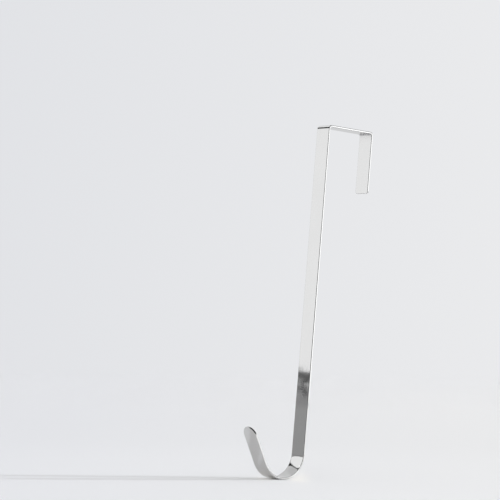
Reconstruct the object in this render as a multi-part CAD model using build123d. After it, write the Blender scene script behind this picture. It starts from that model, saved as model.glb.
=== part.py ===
from build123d import *
import os

# Wreath hanger that hooks over the top edge of a door, bent from one strip of flat steel.
# X runs across the strip, +Y points from the front of the door to its back, and +Z is up.
# The origin is the middle of the saddle's underside, where the hanger sits on the door.

# Driving dimensions, in millimetres and degrees
strip_width = 16.0
strip_thickness = 1.6
edge_radius = 0.45

door_gap = 46.0
saddle_bend_radius = 1.5
leg_drop = 51.3
leg_corner_radius = 2.5

hanger_height = 300.0
hook_bend_radius = 20.3
hook_lean = 28.8
arm_length = 26.0

# Heights and places that follow from them
saddle_top = strip_thickness
hook_bottom = saddle_top - hanger_height
hook_outer_radius = hook_bend_radius + strip_thickness
hook_centre_height = hook_bottom + hook_outer_radius
tip_radius = strip_width / 2


def door_side_line():
    """The strip's door side, drawn from the leg's end over the door and round the outside of the hook."""
    over_door = FilletPolyline(
        (door_gap / 2, -leg_drop),
        (door_gap / 2, 0),
        (-door_gap / 2, 0),
        (-door_gap / 2, hook_centre_height),
        radius=saddle_bend_radius,
    )
    hook = JernArc(over_door @ 1, over_door % 1, hook_outer_radius, hook_lean - 180)
    arm = PolarLine(hook @ 1, arm_length, direction=hook % 1)
    return over_door + hook + arm, arm


def bent_strip(line):
    """The strip's thickness is laid along the line, away from the door, and carried across its width."""
    section = make_face(offset(line, strip_thickness, side=Side.RIGHT).edges())
    return extrude(Plane.YZ * section, strip_width / 2, both=True)


def tip_disc(arm):
    """A disc as thick as the strip at the arm's end, whose outer half is the hook's round tip."""
    end = arm @ 1
    along = arm % 1
    arm_end = Vector(0, end.X, end.Y)
    facing = Vector(0, along.Y, -along.X)
    return extrude(Plane(arm_end, x_dir=(1, 0, 0), z_dir=facing) * Circle(tip_radius), strip_thickness)


def round_leg_corners(strip):
    """The leg's end is cut square across, with its two corners rounded."""
    corners = strip.edges().filter_by(Axis.Y).group_by(SortBy.LENGTH)[0]
    return fillet(corners, leg_corner_radius)


def ease_rim(strip):
    """Every sharp edge of the strip is eased, as tumbling and plating leave it."""
    faces = strip.faces()

    def is_sharp(edge):
        middle = edge @ 0.5
        first, second = [face.normal_at(middle) for face in faces if edge in face.edges()]
        return first.get_angle(second) > 45

    return fillet(strip.edges().filter_by(is_sharp), edge_radius)


outline, hook_arm = door_side_line()
hanger_strip = bent_strip(outline) + tip_disc(hook_arm)
hanger_strip = round_leg_corners(hanger_strip)
hanger_strip = ease_rim(hanger_strip)
print("hanger_strip", len(hanger_strip.faces()), "faces,", round(hanger_strip.volume), "mm3")

os.makedirs("parts", exist_ok=True)
export_step(hanger_strip, "parts/hanger_strip.step")
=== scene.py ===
# %% [markdown]
# # A wreath hanger in bright plated steel
#
# The object is one flat steel strip. It is bent into a saddle that sits over the top edge of a door, a
# long straight stem, and an open hook with a round tip. A thin bright plate covers it, so it shows little
# colour of its own: almost all that the eye sees is a reflection of the studio. This lesson bends the
# strip in Blender the way a workshop bends it, plates it, and then builds a studio that is worth
# reflecting.
#
# The solid model comes first and stays fixed. It gives the box that the finished piece has to fit.

# %% Load the solid model
import math

import bmesh
import bpy
from mathutils import Matrix, Vector


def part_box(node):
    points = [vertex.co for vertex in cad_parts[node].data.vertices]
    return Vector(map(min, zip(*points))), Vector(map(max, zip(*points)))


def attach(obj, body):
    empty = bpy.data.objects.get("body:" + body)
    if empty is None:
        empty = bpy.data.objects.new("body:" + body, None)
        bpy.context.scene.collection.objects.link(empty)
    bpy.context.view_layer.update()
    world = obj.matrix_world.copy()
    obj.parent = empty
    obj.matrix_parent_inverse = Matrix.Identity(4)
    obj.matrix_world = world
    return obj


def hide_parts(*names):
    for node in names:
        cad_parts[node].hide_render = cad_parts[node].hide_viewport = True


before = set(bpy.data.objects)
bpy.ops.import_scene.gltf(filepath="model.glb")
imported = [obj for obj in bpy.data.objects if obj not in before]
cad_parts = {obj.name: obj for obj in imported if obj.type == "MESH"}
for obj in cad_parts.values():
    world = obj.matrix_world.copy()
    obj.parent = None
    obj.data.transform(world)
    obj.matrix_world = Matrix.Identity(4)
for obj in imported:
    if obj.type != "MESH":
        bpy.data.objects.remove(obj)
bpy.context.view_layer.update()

# %% [markdown]
# The sizes are in metres. The strip's width and thickness, the gap for the door and the hook's lowest
# point are read from the solid's box: the saddle's underside is at height zero, so the top of the box is
# the thickness. Radii and lengths that a box can't tell are written here once.

# %% Sizes of the strip
low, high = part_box("hanger_strip")
strip_width = high.x - low.x
strip_thickness = high.z
door_gap = 2 * (high.y - strip_thickness)

saddle_bend_radius = 0.0015
leg_drop = 0.0513
leg_corner_radius = 0.0025
hook_bend_radius = 0.0203
hook_lean = math.radians(28.8)
arm_length = 0.026
edge_radius = 0.00045

hook_outer_radius = hook_bend_radius + strip_thickness
hook_centre = Vector((0, -door_gap / 2 - hook_outer_radius, low.z + hook_outer_radius))
print("strip", round(strip_width, 5), "by", round(strip_thickness, 5), "door gap", round(door_gap, 5))

# %% [markdown]
# A bent strip is a row of points carried along a path. A flat length could be a stretched box and a bend
# could be cut from a tube, but then the joins would need hiding. Here one row of three points starts at
# the leg's end and is extruded along each straight run and spun round each bend, so the sheet is one
# surface with no joins. The row lies on the strip's door side, and the thickness comes later.

# %% Helpers that carry the row on
strip = bmesh.new()
across = Vector((1, 0, 0))


def row_in(geometry):
    """The edges of the new row among what an operator made."""
    points = {part for part in geometry if isinstance(part, bmesh.types.BMVert)}
    edges = [part for part in geometry if isinstance(part, bmesh.types.BMEdge)]
    return [edge for edge in edges if points.issuperset(edge.verts)]


def run_straight(row, travel):
    """Carries the row straight on by a travel."""
    made = bmesh.ops.extrude_edge_only(strip, edges=row)["geom"]
    points = [part for part in made if isinstance(part, bmesh.types.BMVert)]
    bmesh.ops.translate(strip, verts=points, vec=travel)
    return row_in(made)


def bend_round(row, centre, angle, steps):
    """Turns the row about a line across the strip."""
    points = {point for edge in row for point in edge.verts}
    made = bmesh.ops.spin(strip, geom=[*points, *row], cent=centre, axis=across, angle=angle, steps=steps)
    return row_in(made["geom_last"])


# %% Bend the strip from the leg to the hook's arm
tight_bend_steps = 12
hook_bend_steps = 96
quarter_turn = math.radians(90)
half_turn = math.radians(180)
hook_sweep = half_turn - hook_lean
saddle_run = door_gap - 2 * saddle_bend_radius
stem_run = -saddle_bend_radius - hook_centre.z
arm_direction = Vector((0, -math.sin(hook_lean), math.cos(hook_lean)))
back_centre = Vector((0, door_gap / 2 - saddle_bend_radius, -saddle_bend_radius))
front_centre = Vector((0, -back_centre.y, back_centre.z))

first_points = [
    strip.verts.new((share * strip_width / 2, door_gap / 2, -leg_drop))
    for share in (-1, 0, 1)
]
leg_end = [strip.edges.new(pair) for pair in zip(first_points, first_points[1:])]
row = run_straight(leg_end, Vector((0, 0, leg_drop - saddle_bend_radius)))
row = bend_round(row, back_centre, quarter_turn, tight_bend_steps)
row = run_straight(row, Vector((0, -saddle_run, 0)))
row = bend_round(row, front_centre, quarter_turn, tight_bend_steps)
row = run_straight(row, Vector((0, 0, -stem_run)))
row = bend_round(row, hook_centre, -hook_sweep, hook_bend_steps)
arm_end = run_straight(row, arm_length * arm_direction)
print("bent sheet:", len(strip.verts), "points", len(strip.faces), "faces")

# %% [markdown]
# The hook ends in a full half round, as a blanking punch leaves it. A disc could be joined on, but it
# would leave a seam in the mirror finish. Here half of the last row, from the middle point to one side,
# is swept half a turn about the middle point: its free end draws the half circle and meets the other
# side. The two corners at the leg's end are only taken off, so each gets a round of its own by a bevel on
# the corner point.

# %% Round the tip and the leg's corners
tip_steps = 40
corner_steps = 10
same_place = 1e-6
off_middle = strip_width / 4
arm_facing = across.cross(arm_direction)
tip_points = {point for edge in arm_end for point in edge.verts}
tip_middle = min(tip_points, key=lambda point: abs(point.co.x))
half_row = [edge for edge in arm_end if sum(point.co.x for point in edge.verts) > 0]
bmesh.ops.spin(
    strip, geom=[*half_row[0].verts, *half_row], cent=tip_middle.co, axis=arm_facing,
    angle=half_turn, steps=tip_steps,
)
bmesh.ops.remove_doubles(strip, verts=strip.verts, dist=same_place)

leg_corners = [
    point for point in strip.verts
    if abs(point.co.z + leg_drop) < same_place and abs(point.co.x) > off_middle
]
bmesh.ops.bevel(
    strip, geom=leg_corners, offset=leg_corner_radius, segments=corner_steps, profile=0.5,
    affect="VERTICES", material=-1,
)
print("rounded", len(leg_corners), "leg corners and a tip of radius", round(strip_width / 2, 5))

# %% [markdown]
# A strip that is bent round a former doesn't stay flat across. Its outer side is stretched and draws in,
# its inner side is pressed and spreads, so the edges curl away from the bend's centre by a few tenths of
# a millimetre. The eye can't see that as a shape, but in a mirror finish it slants every reflection in
# the hook. A bump in the material could slant them too, but then the finished mesh would stay flat. Here
# more points across the bend make room for the crown, and each one is then drawn towards the bend's
# centre.

# %% Find the places on the hook's bend
bend_slack = 1e-4


def hook_angle(place):
    """How far round the hook's bend a place is, from the stem's end."""
    from_centre = place - hook_centre
    return math.atan2(-from_centre.z, from_centre.y)


def is_in_hook(place):
    """True on the hook's round bend, its two ends included."""
    reach = math.hypot(place.y - hook_centre.y, place.z - hook_centre.z)
    on_bend = abs(reach - hook_outer_radius) < bend_slack
    return on_bend and -bend_slack < hook_angle(place) < hook_sweep + bend_slack


cross_edges = [
    edge for edge in strip.edges
    if all(is_in_hook(point.co) for point in edge.verts)
    and abs(edge.verts[0].co.x - edge.verts[1].co.x) > off_middle
]
print("edges across the hook's bend:", len(cross_edges))

# %% Crown the hook's bend
crown_depth = 0.0003
crown_cuts = 7
crown_fade = math.radians(25)


def fade_in(amount):
    """A smooth step from 0 to 1."""
    held = max(0.0, min(1.0, amount))
    return held * held * (3 - 2 * held)


bmesh.ops.subdivide_edges(strip, edges=cross_edges, cuts=crown_cuts, use_grid_fill=True)
crowned_points = [point for point in strip.verts if is_in_hook(point.co)]
for point in crowned_points:
    turned = hook_angle(point.co)
    grown = fade_in(turned / crown_fade) * fade_in((hook_sweep - turned) / crown_fade)
    middle_share = 1 - (2 * point.co.x / strip_width) ** 2
    inwards = Vector((0, hook_centre.y - point.co.y, hook_centre.z - point.co.z)).normalized()
    point.co += crown_depth * grown * middle_share * inwards
print("crowned", len(crowned_points), "points, by", crown_depth, "m in the middle")

# %% [markdown]
# Now the sheet gets its thickness, away from the door. The faces are made to agree first, because the
# wall grows along them. Every rim is then eased, as tumbling before plating leaves it. Blender could
# round it in the shader alone, but the real rim has a shape: on a mirror finish it draws the bright and
# dark lines along the strip. A small bevel on every sharp edge gives it.

# %% Give the strip its thickness and ease its rim
sharp_angle = math.radians(60)
rim_steps = 5
mm3_per_m3 = 1e9

bmesh.ops.recalc_face_normals(strip, faces=strip.faces)
saddle_face = max(strip.faces, key=lambda face: face.calc_center_median().z)
outward = 1 if saddle_face.normal.z > 0 else -1
bmesh.ops.solidify(strip, geom=strip.faces[:], thickness=-outward * strip_thickness)
bmesh.ops.recalc_face_normals(strip, faces=strip.faces)

rim = [edge for edge in strip.edges if edge.calc_face_angle(0) > sharp_angle]
bmesh.ops.bevel(
    strip, geom=rim, offset=edge_radius, segments=rim_steps, profile=0.5, affect="EDGES",
    material=-1, loop_slide=True,
)
for face in strip.faces:
    face.smooth = True
open_edges = [edge for edge in strip.edges if not edge.is_manifold]
volume = round(strip.calc_volume() * mm3_per_m3)
print(len(strip.faces), "faces,", len(rim), "rim edges,", len(open_edges), "open edges,", volume, "mm3")

# %% [markdown]
# The mesh becomes one object. With plain smooth shading, the narrow rim would tilt the shading of the
# flats beside it, and a mirror shows the least tilt. Marking the rim's edges sharp would keep the flats
# flat but break the rim's soft line. A weighted normal modifier lets the large faces decide, so both
# stay.
#
# Then the solid that the object takes the place of is hidden, and the object is attached to the body
# that carries it.

# %% Make the strip an object
strip_mesh = bpy.data.meshes.new("bent_strip")
strip.to_mesh(strip_mesh)
strip.free()
bent_strip = bpy.data.objects.new("bent_strip", strip_mesh)
bpy.context.scene.collection.objects.link(bent_strip)
even_shading = bent_strip.modifiers.new("even_shading", "WEIGHTED_NORMAL")
even_shading.mode = "FACE_AREA"
even_shading.weight = 100
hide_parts("hanger_strip")
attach(bent_strip, "root")
print("object", bent_strip.name, "with", len(strip_mesh.polygons), "faces")

# %% [markdown]
# Materials are graphs of nodes. Writing them as links and sockets hides what they say, so one small class
# wraps a socket: sums and products on it add Math nodes, and one method adds any other node. A few
# helpers give names to the nodes that come up most often.

# %% A socket that can be calculated with


class Signal:
    """One socket in a node tree. Arithmetic on it adds Math nodes."""

    def __init__(self, tree, socket=None):
        self.tree = tree
        self.socket = socket

    def node(self, kind, settings=None, sockets=None, output=0):
        """Adds a node, with its settings set first, and returns one of its outputs."""
        made = self.tree.nodes.new(kind)
        for name, value in (settings or {}).items():
            if name == "stops":
                self.set_stops(made.color_ramp, value)
            else:
                setattr(made, name, value)
        for name, value in (sockets or {}).items():
            if isinstance(value, Signal):
                self.tree.links.new(value.socket, made.inputs[name])
            else:
                made.inputs[name].default_value = value
        return Signal(self.tree, made.outputs[output] if made.outputs else None)

    @staticmethod
    def set_stops(ramp, stops):
        """Fills a ramp with (place, colour) stops."""
        for place, colour in stops[2:]:
            ramp.elements.new(place).color = colour
        for element, (place, colour) in zip(ramp.elements, stops):
            element.position = place
            element.color = colour

    def math(self, operation, first, second=0.0):
        """A Math node on one or two values."""
        return self.node("ShaderNodeMath", {"operation": operation}, {0: first, 1: second})

    def __add__(self, other):
        return self.math("ADD", self, other)

    __radd__ = __add__

    def __sub__(self, other):
        return self.math("SUBTRACT", self, other)

    def __rsub__(self, other):
        return self.math("SUBTRACT", other, self)

    def __mul__(self, other):
        return self.math("MULTIPLY", self, other)

    __rmul__ = __mul__


# %% Helpers for materials


def new_tree(owner):
    """An empty node tree on a material or a world, as a signal to start from."""
    owner.use_nodes = True
    owner.node_tree.nodes.clear()
    return Signal(owner.node_tree)


def one_axis(place, axis):
    """How far along one axis a place is."""
    return place.node("ShaderNodeSeparateXYZ", None, {0: place}, output=axis)


def share_between(value, first, last, course="LINEAR"):
    """How far a value has come from a first to a last one, held between 0 and 1."""
    return value.node("ShaderNodeMapRange", {"interpolation_type": course}, {
        "Value": value, "From Min": first, "From Max": last,
    })


def mix_colours(share, first, second):
    """A colour that goes from the first to the second as the share grows from 0 to 1."""
    return share.node("ShaderNodeMix", {"data_type": "RGBA"}, {
        "Factor": share, "A": first, "B": second,
    }, output="Result")


# %% [markdown]
# The plate is bright nickel and chrome over rolled steel. The rolled strip's fine lines run lengthwise
# and show through as faint changes of gloss. They could be painted on a map of the surface, but the
# strip's length always lies square to X, so noise that is fine along X and long in the other two
# directions follows it through every bend. A second, coarser noise is the faint haze that handling
# leaves.
#
# Inside the saddle's two bends the plate's colour is painted darker, as shade, and its roughness is
# raised, so it is duller too. Both are strongest at each bend's inner corner and die out with the distance
# from it.

# %% Lines, haze and painted corner shade on the plate
line_scale = (1800, 14, 14)
line_detail = 4.0
haze_scale = (60, 60, 40)
haze_detail = 3.0
corner_shade_core = 0.002
corner_shade_reach = 0.014
corner_shade_fall = 4

plate = bpy.data.materials.new("bright_plate")
on_plate = new_tree(plate)
plate_spot = on_plate.node("ShaderNodeTexCoord", output="Object")


def noise_over(scale, detail):
    """Noise over the strip, with its own scale along each axis."""
    stretched = on_plate.node("ShaderNodeMapping", None, {"Vector": plate_spot, "Scale": scale})
    return on_plate.node("ShaderNodeTexNoise", None, {
        "Vector": stretched, "Scale": 1.0, "Detail": detail,
    }, output="Fac")


rolled_lines = noise_over(line_scale, line_detail)
handling_haze = noise_over(haze_scale, haze_detail)

# Painted shade: a mask that is strongest at each saddle bend's inner corner and fades with distance from
# it.
past_wall = on_plate.math("ABSOLUTE", one_axis(plate_spot, "Y")) - door_gap / 2
over_door = one_axis(plate_spot, "Z")
inside = on_plate.math("LESS_THAN", on_plate.math("MAXIMUM", past_wall, over_door), strip_thickness / 2)
from_corner = on_plate.math("SQRT", past_wall * past_wall + over_door * over_door)
nearness = 1 - share_between(from_corner, corner_shade_core, corner_shade_reach)
corner_shade = inside * on_plate.math("POWER", nearness, corner_shade_fall)
print("patterns with", len(plate.node_tree.nodes), "nodes")

# %% [markdown]
# The plate is a metal, so its base colour is what it gives back of the light, about two thirds. A bright
# metal could also be a plain glossy shader, but the principled one takes colour, gloss and relief in one
# place. Each pattern adds its own small share of dullness to the polish.

# %% Plate the strip
polish = 0.028
line_dullness = 0.03
haze_dullness = 0.01
corner_dullness = 0.08
line_relief = 0.0002
line_strength = 0.06
clean_colour = (0.636, 0.631, 0.622, 1)
hazy_colour = (0.672, 0.667, 0.658, 1)
# The darker base colour painted into the bends' inner corners as shade.
painted_shade_colour = (0.585, 0.58, 0.574, 1)

roughness = polish + line_dullness * rolled_lines + haze_dullness * handling_haze + corner_dullness * corner_shade
relief = on_plate.node("ShaderNodeBump", None, {
    "Strength": line_strength, "Distance": line_relief, "Height": rolled_lines,
}, output="Normal")
plate_colour = mix_colours(corner_shade, mix_colours(handling_haze, clean_colour, hazy_colour), painted_shade_colour)
plated = on_plate.node("ShaderNodeBsdfPrincipled", None, {
    "Base Color": plate_colour, "Metallic": 1.0, "Roughness": roughness, "Normal": relief,
})
on_plate.node("ShaderNodeOutputMaterial", None, {"Surface": plated})
strip_mesh.materials.append(plate)
print("plated with", len(plate.node_tree.nodes), "nodes")

# %% [markdown]
# The camera stands low and far away, with a long lens, so the stem hardly tapers. Its place was worked
# out from the strip's edges in the photograph. It could be found by eye with a track-to constraint, but
# three angles, a distance and a point to aim at say the same and can be checked. The hanger stands on its
# hook and leans, so the camera is rolled against the strip.

# %% Set up the camera
photo_side = 500
focal_length_pixels = 2385.6
camera_azimuth = math.radians(52.1392)
camera_elevation = math.radians(-3.6729)
camera_roll = math.radians(4.5971)
camera_distance = 2.01831
aim = Vector((-0.038413, -0.062499, -0.108486))

flat_right = Vector((math.cos(camera_azimuth), math.sin(camera_azimuth), 0))
camera_back = Vector((
    math.sin(camera_azimuth) * math.cos(camera_elevation),
    -math.cos(camera_azimuth) * math.cos(camera_elevation),
    math.sin(camera_elevation),
))
flat_up = camera_back.cross(flat_right)
camera_right = math.cos(camera_roll) * flat_right + math.sin(camera_roll) * flat_up
camera_up = camera_back.cross(camera_right)

lens = bpy.data.cameras.new("camera")
lens.sensor_width = 36
lens.lens = focal_length_pixels / photo_side * lens.sensor_width
camera = bpy.data.objects.new("camera", lens)
camera.matrix_world = (
    Matrix.Translation(aim + camera_distance * camera_back)
    @ Matrix((camera_right, camera_up, camera_back)).transposed().to_4x4()
)
bpy.context.scene.collection.objects.link(camera)
bpy.context.scene.camera = camera
print("lens", round(lens.lens, 1), "mm, camera up", camera_up[:])

# %% [markdown]
# The table is a wide pale disc that touches the hook's lowest line. That line runs across the strip, so
# the table's upright is square to X. Apart from that it is the picture's upright, a little tipped, so
# that the camera looks down on the table beside the hook by four or five degrees. The hanger could be
# turned to stand on a level floor instead, but it has to stay where the solid is, so the table comes to
# it.

# %% Lay the table
table_tip = math.radians(-1.2)
table_radius = 2.5
table_steps = 96
level_up = Vector((0, camera_up.y, camera_up.z)).normalized()
table_up = Matrix.Rotation(table_tip, 3, "X") @ level_up
touch = hook_centre - hook_outer_radius * table_up


def directions_on(up):
    """The directions to the picture's right and to the camera on ground whose upright is given."""
    to_right = (camera_right - camera_right.dot(up) * up).normalized()
    return to_right, to_right.cross(up)


def standing(up):
    """The matrix that stands a thing upright where the hook touches the table."""
    to_right, to_camera = directions_on(up)
    turned = Matrix((to_right, -to_camera, up)).transposed().to_4x4()
    return Matrix.Translation(touch) @ turned


table_right, table_near = directions_on(table_up)
disc = bmesh.new()
bmesh.ops.create_circle(disc, cap_ends=True, segments=table_steps, radius=table_radius)
table_mesh = bpy.data.meshes.new("table")
disc.to_mesh(table_mesh)
disc.free()
table = bpy.data.objects.new("table", table_mesh)
table.matrix_world = standing(table_up)
bpy.context.scene.collection.objects.link(table)
print("table touches the hook at", touch[:])

# %% [markdown]
# The table's paint carries painted shade: it is a little darker at the left and darker with distance, as
# light from the front right leaves it.
#
# Its outer part fades away, and the background of the same tone takes over with no horizon. A table that
# turns half clear would do, but where it is mostly clear the denoiser sees an edge and draws a line. Here
# a fine grain decides at each point whether the table is there at all, and less of it is left further
# out.

# %% Paint the table
left_paint = (0.778, 0.782, 0.805, 1)
right_paint = (0.834, 0.832, 0.833, 1)
paint_half_width = 0.25
falloff_from = 0.15
falloff_to = 0.55
falloff_share = 0.975
fade_from = 0.6

table_top = bpy.data.materials.new("table_top")
on_table = new_tree(table_top)
table_spot = on_table.node("ShaderNodeTexCoord", output="Object")
reach = on_table.node("ShaderNodeVectorMath", {"operation": "LENGTH"}, {0: table_spot}, output="Value")

# Painted shade: the paint darkens towards the left and again further from the hook.
from_left = share_between(one_axis(table_spot, "X"), -paint_half_width, paint_half_width)
bright_paint = mix_colours(from_left, left_paint, right_paint)
far_shaded_paint = on_table.node("ShaderNodeVectorMath", {"operation": "SCALE"}, {
    0: bright_paint, "Scale": falloff_share,
})
falloff = share_between(reach, falloff_from, falloff_to, "SMOOTHSTEP")
paint = on_table.node("ShaderNodeBsdfDiffuse", None, {
    "Color": mix_colours(falloff, bright_paint, far_shaded_paint),
})

nothing = on_table.node("ShaderNodeBsdfTransparent")
fading = share_between(reach, fade_from, table_radius, "SMOOTHSTEP")
grain = on_table.node("ShaderNodeTexWhiteNoise", {"noise_dimensions": "3D"}, {"Vector": table_spot})
gone = on_table.math("GREATER_THAN", fading, grain)
faded = on_table.node("ShaderNodeMixShader", None, {0: gone, 1: paint, 2: nothing})
on_table.node("ShaderNodeOutputMaterial", None, {"Surface": faded})
table_mesh.materials.append(table_top)
print("table painted with", len(table_top.node_tree.nodes), "nodes")

# %% [markdown]
# The world gives two things. What the camera and the plate see of it is the pale background, a little
# darker towards the left. What lights the table is a white glow that is strongest from the front right,
# near the table's level, as from large windows, so that light reaches under the hook. Lamps could do that
# too, but a glow from all round leaves no shadow edge of its own.

# %% Hang the pale background
backdrop_left = (0.76, 0.77, 0.797, 1)
backdrop_right = (0.82, 0.825, 0.84, 1)
glow_behind = (3.4, 3.4, 3.42, 1)
glow_front = (7.25, 7.25, 7.29, 1)
glow_overhead = (0.43, 0.43, 0.43, 1)
glow_to_right = 0.8
glow_top = math.sin(math.radians(30))
half_view = photo_side / 2 / focal_length_pixels

world = bpy.data.worlds.new("studio")
bpy.context.scene.world = world
in_world = new_tree(world)
direction = in_world.node("ShaderNodeTexCoord", output="Generated")


def share_along(axis, first, last):
    """How far the direction has come along an axis, from 0 to 1."""
    along = in_world.node("ShaderNodeVectorMath", {"operation": "DOT_PRODUCT"}, {
        0: direction, 1: axis,
    }, output="Value")
    return share_between(along, first, last)


backdrop = mix_colours(share_along(table_right, -half_view, half_view), backdrop_left, backdrop_right)
front_right = (table_near + glow_to_right * table_right).normalized()
glow_level = mix_colours(share_along(front_right, -1, 1), glow_behind, glow_front)
glow = mix_colours(share_along(table_up, 0, glow_top), glow_level, glow_overhead)
seen = sum(
    in_world.node("ShaderNodeLightPath", output=name)
    for name in ("Is Camera Ray", "Is Glossy Ray", "Is Transmission Ray")
)
sky = in_world.node("ShaderNodeBackground", None, {"Color": mix_colours(seen, glow, backdrop)})
in_world.node("ShaderNodeOutputWorld", None, {"Surface": sky})
print("background with", len(world.node_tree.nodes), "nodes")

# %% [markdown]
# A mirror needs something to mirror. White and dark screens stand round the hanger, out of the picture:
# they are seen by reflections alone, so they neither light the table nor throw a shadow. Flat cards would
# do, but a screen that is bent round the hanger is easier to place: it runs from one bearing to another.
# Bearings are in degrees. They go from 0 at the picture's left, over 90 at the camera, to 180 at its
# right, and below zero they are behind the hanger on the left. A screen's tones are pairs: a share of the
# way from the table to the screen's top, and how bright the screen is there.

# %% A screen that only reflections see
daylight = (0.99, 1.0, 1.015)
level_place = standing(level_up)


def add_screen(name, shape, height, tones, place=level_place):
    """Puts a screen in the studio. Its tones go from the table up to the height."""
    mesh = bpy.data.meshes.new(name)
    shape.to_mesh(mesh)
    shape.free()
    screen = bpy.data.objects.new(name, mesh)
    screen.matrix_world = place
    screen.visible_camera = False
    screen.visible_diffuse = False
    screen.visible_shadow = False
    bpy.context.scene.collection.objects.link(screen)

    material = bpy.data.materials.new(name)
    on_screen = new_tree(material)
    spot = on_screen.node("ShaderNodeTexCoord", output="Object")
    share_up = share_between(one_axis(spot, "Z"), 0, height)
    stops = [(share, (*(tone * part for part in daylight), 1)) for share, tone in tones]
    colour = on_screen.node("ShaderNodeValToRGB", {"stops": stops}, {0: share_up})
    shining = on_screen.node("ShaderNodeEmission", None, {"Color": colour})
    on_screen.node("ShaderNodeOutputMaterial", None, {"Surface": shining})
    mesh.materials.append(material)
    print(name, "with", len(mesh.polygons), "faces")


def plain(tone):
    """One tone from the table to the top."""
    return [(0, tone), (1, tone)]


# %% Three shapes of screen
screen_steps = 24
ceiling_steps = 64


def stand_screen(name, bearings, distance, top, tones, foot=0.0, lean=0.0):
    """An upright screen, bent round the hook from one bearing to another. It can lean sideways."""
    first, last = (math.radians(bearing) for bearing in bearings)
    shape = bmesh.new()
    ends = [
        shape.verts.new((-distance * math.cos(first), -distance * math.sin(first), height))
        for height in (foot, top)
    ]
    edge = shape.edges.new(ends)
    bmesh.ops.spin(shape, geom=[*ends, edge], axis=(0, 0, 1), angle=last - first, steps=screen_steps)
    middle = (first + last) / 2
    facing = Vector((math.cos(middle), math.sin(middle), 0))
    add_screen(name, shape, top, tones, level_place @ Matrix.Rotation(math.radians(lean), 4, facing))


def hang_card(name, bearing, distance, middle, width, height, turn, tone):
    """A small flat screen that faces the hook from a bearing, turned about its own middle."""
    around = math.radians(bearing)
    shape = bmesh.new()
    bmesh.ops.create_grid(shape, x_segments=1, y_segments=1, size=0.5)
    put = (
        Matrix.Translation((-distance * math.cos(around), -distance * math.sin(around), middle))
        @ Matrix.Rotation(around + quarter_turn, 4, "Z")
        @ Matrix.Rotation(quarter_turn, 4, "X")
        @ Matrix.Rotation(math.radians(turn), 4, "Z")
        @ Matrix.Diagonal((width, height, 1, 1))
    )
    bmesh.ops.transform(shape, matrix=put, verts=shape.verts)
    add_screen(name, shape, middle, plain(tone))


def hang_ceiling(name, height, radius, tone):
    """A round screen over the table."""
    shape = bmesh.new()
    bmesh.ops.create_circle(shape, cap_ends=True, segments=ceiling_steps, radius=radius)
    bmesh.ops.translate(shape, verts=shape.verts, vec=(0, 0, height))
    add_screen(name, shape, height, plain(tone))


# %% [markdown]
# From the camera, the stem's front mirrors what stands at the left. White screens there make it pale. Low
# dark ones stand before them, so the stem's lower end is grey, with a dark top, a light line and a small
# slanted patch from a card. One painted wall could hold all of that as an image, but plain screens with a
# few tones each can be moved one at a time.

# %% Stand screens at the left
white = 1.173
low_grey = 0.4
dark_tones = [
    (0, low_grey), (0.7, low_grey), (0.745, 0.33), (0.78, 0.34), (0.81, 0.5), (0.875, 0.6), (0.905, 0.9),
    (0.914, 0.13), (0.945, 0.125),
]
stand_screen("white_screen_left", bearings=(12, -20.5), distance=0.53, top=0.435, tones=plain(white))
stand_screen("white_screen_next", bearings=(-20.5, -28), distance=0.53, top=0.47, tones=plain(white))
stand_screen(
    "white_screen_corner", bearings=(-22, -30), distance=0.535, top=0.51, tones=plain(white), lean=-6
)
stand_screen(
    "dark_screen_left", bearings=(2.4, -31), distance=0.51, top=0.1309, tones=dark_tones, lean=-5.5
)
stand_screen("dark_screen_next", bearings=(-16.4, -31), distance=0.5, top=0.134, tones=dark_tones)
hang_card(
    "dark_card", bearing=-15.05, distance=0.505, middle=0.1126, width=0.024, height=0.0098, turn=38,
    tone=0.01,
)

# %% [markdown]
# The inside of the hook's bend turns from the stem's direction to straight up, so it mirrors everything
# from the left to straight behind. The gap between the white screens and the pale ones shows a dark
# screen further away, and that draws the dark line across the hook. A grey screen high in the gap keeps
# part of the line from going black. The pale screens light the bottom of the bend and the saddle's
# underside, and the bright top of the upper one draws the light line on the saddle's front bend.

# %% Stand screens behind the hanger
pale = 0.74
pale_at_join = 0.785
bright_top = 1.155
join_height = 0.38
room_height = 0.9
stand_screen("grey_screen_gap", bearings=(-33, -43), distance=0.62, foot=0.42, top=0.56, tones=plain(0.23))
stand_screen(
    "pale_screen_low", bearings=(-43, -115), distance=0.58, top=join_height,
    tones=[(0, pale), (0.7, pale), (1, pale_at_join)],
)
stand_screen(
    "pale_screen_high", bearings=(-39.5, -115), distance=0.58, foot=join_height, top=room_height,
    tones=[
        (0.42, pale_at_join), (0.47, pale), (0.52, 0.675), (0.7, 0.7), (0.8, bright_top), (1, bright_top),
    ],
)
stand_screen("dark_screen_far_left", bearings=(25, -70), distance=0.95, top=room_height, tones=plain(0.02))

# %% [markdown]
# The rims and the strip's narrow side are so small that each one mirrors half the room in a single line.
# The dark screen behind the camera draws the dark line along the stem and the leg, and the dark ceiling
# the ones along the saddle, in the bend and round the tip. White screens at the right brighten the narrow
# side: a far one the upper part, and two small near ones the stem's lower end, the arm and the bend. One
# more screen before the dark one is graded, so that the stem isn't plain black when it is seen from the
# front.

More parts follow.
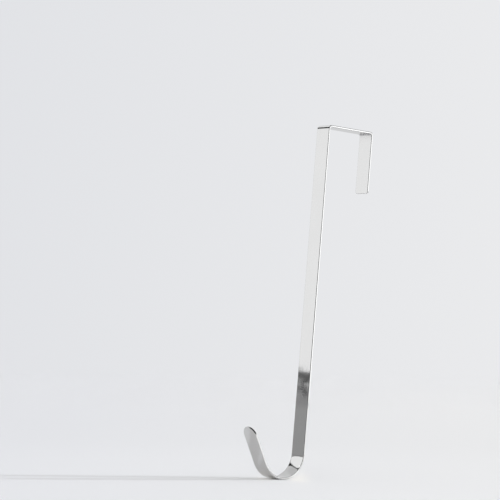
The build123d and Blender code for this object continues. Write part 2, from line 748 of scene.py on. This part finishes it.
# %% Stand screens for the rims and the narrow side
stand_screen("dark_screen_camera", bearings=(15, 140), distance=2.3, top=room_height, tones=plain(0.03))
stand_screen(
    "graded_screen_front", bearings=(28, 50), distance=2.2, top=room_height,
    tones=[(0, 0.6), (0.35, 0.03), (0.5, 0.08), (0.75, 0.8)],
)
stand_screen("white_screen_right", bearings=(163, 182), distance=1.0, top=0.42, tones=plain(1.88))
stand_screen("white_screen_low", bearings=(145, 182), distance=0.09, top=0.055, tones=plain(1.4))
stand_screen("white_screen_foot", bearings=(130, 200), distance=0.018, top=0.012, tones=plain(1.4))
hang_ceiling("dark_ceiling", height=room_height, radius=2.6, tone=0.01)

# %% [markdown]
# One small lamp stands far to the right, low over the table, and gives about a fifth of the table's
# light. A near lamp would spread its shadows, so a sun lamp is used, whose light is parallel. The stem
# and the hook's arm lean different ways, so it throws two thin shadow lines to the left that drift apart,
# and the arm mirrors them.

# %% Set the far lamp
lamp_bearing = math.radians(185.5)
lamp_elevation = math.radians(12)
lamp_spread = math.radians(0.25)
lamp_strength = 2.85
cool = (0.93, 0.97, 1.0)


def over_table(to_right, to_camera, up):
    """A place given from the point where the hook touches the table."""
    return touch + to_right * table_right + to_camera * table_near + up * table_up


def set_lamp(name, kind, place, aimed_at, strength, colour):
    """A lamp that shines from one place to another. Reflections don't show it."""
    light = bpy.data.lights.new(name, kind)
    light.energy = strength
    light.color = colour
    lamp = bpy.data.objects.new(name, light)
    lamp.location = place
    lamp.rotation_mode = "QUATERNION"
    lamp.rotation_quaternion = (aimed_at - place).to_track_quat("-Z", "Y")
    lamp.visible_glossy = False
    bpy.context.scene.collection.objects.link(lamp)
    return light


level_share = math.cos(lamp_elevation)
lamp_place = over_table(
    -level_share * math.cos(lamp_bearing), level_share * math.sin(lamp_bearing), math.sin(lamp_elevation)
)
far_lamp = set_lamp("far_lamp", "SUN", lamp_place, touch, lamp_strength, cool)
far_lamp.angle = lamp_spread
print("far lamp from", lamp_place[:])

# %% [markdown]
# The bright bend throws light back on the table beside it. A path from lamp to mirror to table is hard
# for the renderer to find, so two narrow, warm spots from the camera's side take its place, one on each
# side of the hook.

# %% Set the bounce lamps
bounce_distance = 0.5
bounce_height = 0.09
bounce_behind = 0.018
bounce_cone = math.radians(2.6)
bounce_size = 0.004
warm = (1.0, 0.88, 0.6)
for name, to_right, strength in (("bounce_lamp_right", 0.017, 11), ("bounce_lamp_left", -0.012, 3.5)):
    shines_from = over_table(to_right, bounce_distance, bounce_height)
    shines_on = over_table(to_right, -bounce_behind, 0)
    bounce_lamp = set_lamp(name, "SPOT", shines_from, shines_on, strength, warm)
    bounce_lamp.spot_size = bounce_cone
    bounce_lamp.spot_blend = 1.0
    bounce_lamp.shadow_soft_size = bounce_size

# %% [markdown]
# Colours are shown as they are written, with the plain view transform.

# %% Finish
bpy.context.scene.view_settings.view_transform = "Standard"
